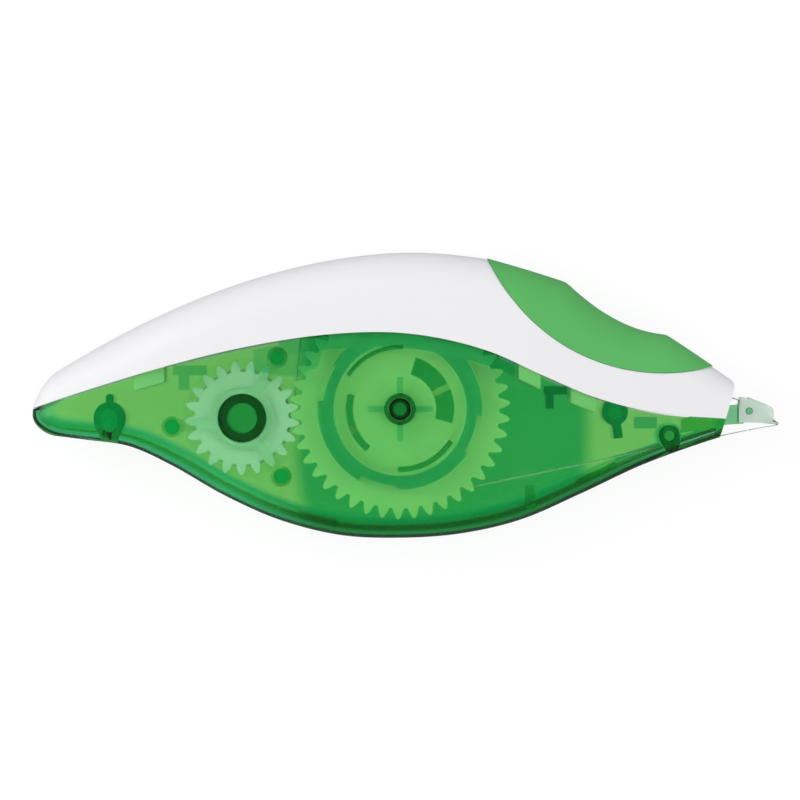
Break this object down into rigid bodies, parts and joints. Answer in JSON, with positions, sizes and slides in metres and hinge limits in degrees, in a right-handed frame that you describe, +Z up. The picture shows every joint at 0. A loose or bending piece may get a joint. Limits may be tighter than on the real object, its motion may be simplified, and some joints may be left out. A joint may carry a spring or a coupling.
{
  "type": "correction tape dispenser",
  "caption": "Hand-held correction tape with a see-through geared case, smooth top cover, soft finger grip, reels on a slipping clutch and a small tilting applicator tip.",
  "frame": {"origin": "on the plane the object lies on, under the axis of the supply reel", "axes": "+X from the tail to the applicator tip, +Y towards the crown of the cover, +Z up from the flat side it lies on"},
  "size_m": [0.1242, 0.0474, 0.018],
  "materials": {
    "case_green": "clear tinted",
    "cover_white": "gloss",
    "grip_green": "soft touch",
    "gear_natural": "moulded",
    "reel_white": "moulded",
    "tape_white": "coated film",
    "backing_film": "film",
    "tip_green": "clear tinted"
  },
  "bodies": {
    "case": {"rear_case": "case_green", "front_case": "case_green", "top_cover": "cover_white", "grip_pad": "grip_green", "reel_post": "case_green", "take_up_post": "case_green", "feed_guide_post": "case_green", "crown_guide_front": "case_green", "crown_guide_rear": "case_green", "take_up_retainer": "tip_green", "tip_holder": "tip_green", "tip_pin": "tip_green", "tape_feed": "tape_white", "tape_return": "backing_film"},
    "drive_gear": {"supply_gear": "gear_natural", "clutch_spring": "gear_natural"},
    "reel": {"supply_reel": "reel_white", "supply_tape": "tape_white"},
    "take_up": {"take_up_gear": "gear_natural", "take_up_flange": "case_green", "take_up_tape": "backing_film"},
    "tip": {"applicator_tip": "tip_green", "tape_tip_loop": "tape_white"}
  },
  "joints": [
    {"name": "supply_gear_spin", "type": "hinge", "parent": "case", "child": "drive_gear", "pos_m": [0, 0, 0.0129], "axis": [0, 0, 1], "continuous": true},
    {"name": "clutch_slip", "type": "hinge", "parent": "drive_gear", "child": "reel", "pos_m": [0, 0, 0.009], "axis": [0, 0, 1], "continuous": true},
    {"name": "take_up_spin", "type": "hinge", "parent": "case", "child": "take_up", "pos_m": [-0.02616, -0.00151, 0.0129], "axis": [0, 0, 1], "continuous": true},
    {"name": "tip_tilt", "type": "hinge", "parent": "case", "child": "tip", "pos_m": [0.058, -0.00033, 0.009], "axis": [0, 0, 1], "range_deg": [-5, 5]}
  ],
  "couplings": [
    {"joint": "take_up_spin", "follows": "supply_gear_spin", "ratio": -2}
  ]
}
